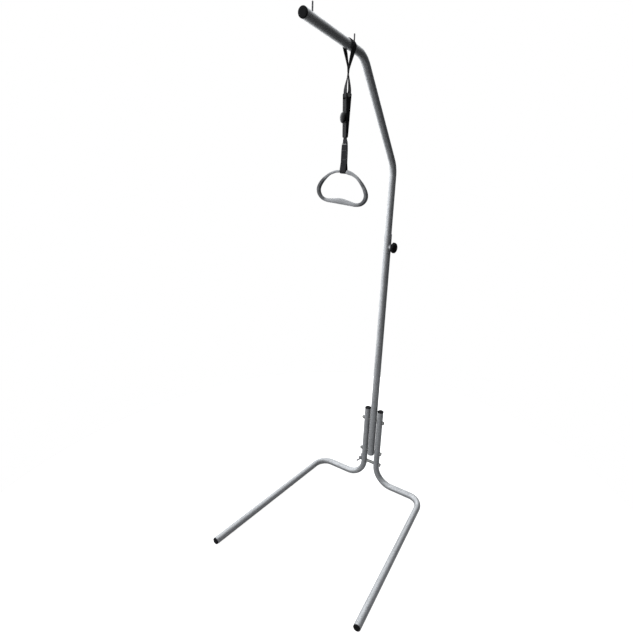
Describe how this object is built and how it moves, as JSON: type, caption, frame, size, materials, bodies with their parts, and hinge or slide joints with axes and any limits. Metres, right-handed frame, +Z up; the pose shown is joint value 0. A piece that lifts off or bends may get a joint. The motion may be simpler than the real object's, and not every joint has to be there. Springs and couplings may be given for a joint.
{
  "type": "bed trapeze",
  "caption": "Free-standing bed trapeze: U-shaped tube base, telescopic mast with a forward boom, and a ring handle on an adjustable webbing strap.",
  "frame": {"origin": "on the floor, in the middle of the footprint of the two legs", "axes": "+Z up along the mast; the legs and the boom point to -Y; +X is to the right seen from the open end of the legs"},
  "size_m": [0.664, 0.6503, 1.7846],
  "materials": {
    "hammertone_paint": "silver-grey hammertone paint on steel tube",
    "black_plastic": "satin black moulded plastic",
    "zinc_steel": "bright zinc plate",
    "dark_steel": "blackened steel",
    "white_nylon": "natural nylon",
    "black_webbing": "woven polyester webbing",
    "grey_plastic": "mid-grey moulded plastic"
  },
  "bodies": {
    "base": {"leg_left": "hammertone_paint", "leg_right": "hammertone_paint", "leg_cap_left": "black_plastic", "leg_cap_right": "black_plastic", "upright_cap_left": "black_plastic", "upright_cap_right": "black_plastic", "mast_lower": "hammertone_paint", "clamp_boss": "hammertone_paint", "upper_bolt": "zinc_steel", "upper_head_washer": "zinc_steel", "upper_nut_washer": "zinc_steel", "upper_nut": "zinc_steel", "upper_spacer_left": "zinc_steel", "upper_spacer_right": "zinc_steel", "middle_bolt": "zinc_steel", "middle_head_washer": "zinc_steel", "middle_nut_washer": "zinc_steel", "middle_nut": "zinc_steel", "middle_spacer_left": "zinc_steel", "middle_spacer_right": "zinc_steel", "tie_bolt": "zinc_steel", "tie_head_washer": "zinc_steel", "tie_spacer": "zinc_steel"},
    "mast_slider": {"inner_bush": "white_nylon"},
    "boom": {"mast_upper": "hammertone_paint", "boom_end_cap": "black_plastic", "boom_pin_front": "dark_steel", "boom_pin_rear": "dark_steel"},
    "clamp_foot": {"clamp_pad": "white_nylon"},
    "clamp_screw": {"clamp_knob": "black_plastic", "clamp_stud": "zinc_steel"},
    "loose_washer": {"wing_washer": "zinc_steel"},
    "wing": {"wing_nut": "dark_steel"},
    "strap": {"strap_loop": "black_webbing"},
    "adjuster": {"adjuster_frame": "black_plastic", "adjuster_bar": "zinc_steel"},
    "button": {"adjuster_button": "black_plastic"},
    "tail": {"lower_strap": "black_webbing"},
    "grip": {"handle": "grey_plastic"}
  },
  "joints": [
    {"name": "mast_height", "type": "slide", "parent": "base", "child": "mast_slider", "axis": [0, 0, 1], "range_m": [-0.17, 0.17]},
    {"name": "boom_swivel", "type": "hinge", "parent": "mast_slider", "child": "boom", "pos_m": [0, 0.30574, 0.84], "axis": [0, 0, 1], "continuous": true},
    {"name": "clamp_travel", "type": "slide", "parent": "base", "child": "clamp_foot", "axis": [1, 0, 0], "range_m": [0, 0.0038]},
    {"name": "clamp_turn", "type": "hinge", "parent": "clamp_foot", "child": "clamp_screw", "pos_m": [0.0225, 0.30574, 1.137], "axis": [1, 0, 0], "range_deg": [0, 1080]},
    {"name": "wing_travel", "type": "slide", "parent": "base", "child": "loose_washer", "axis": [-1, 0, 0], "range_m": [0, 0.0038]},
    {"name": "wing_turn", "type": "hinge", "parent": "loose_washer", "child": "wing", "pos_m": [-0.0465, 0.30574, 0.108], "axis": [-1, 0, 0], "range_deg": [0, 1080]},
    {"name": "strap_slide", "type": "slide", "parent": "boom", "child": "strap", "axis": [0.0767, -0.9971, 0], "range_m": [-0.0125, 0.1735]},
    {"name": "adjuster_swing", "type": "hinge", "parent": "strap", "child": "adjuster", "pos_m": [0.02977, -0.08111, 1.6173], "axis": [-0.8329, 0.5534, 0], "range_deg": [-60, 60]},
    {"name": "button_press", "type": "slide", "parent": "adjuster", "child": "button", "axis": [0.5534, 0.8329, 0], "range_m": [0, 0.0027], "stiffness_N_per_m": 400},
    {"name": "strap_length", "type": "slide", "parent": "adjuster", "child": "tail", "axis": [0, 0, -1], "range_m": [0, 0.06]},
    {"name": "handle_swing", "type": "hinge", "parent": "tail", "child": "grip", "pos_m": [0.02977, -0.08111, 1.4071], "axis": [1, 0, 0], "range_deg": [-100, 100]}
  ],
  "couplings": [
    {"joint": "clamp_travel", "follows": "clamp_turn", "m_per_rad": 0.00019894},
    {"joint": "wing_travel", "follows": "wing_turn", "m_per_rad": 0.00019894}
  ]
}
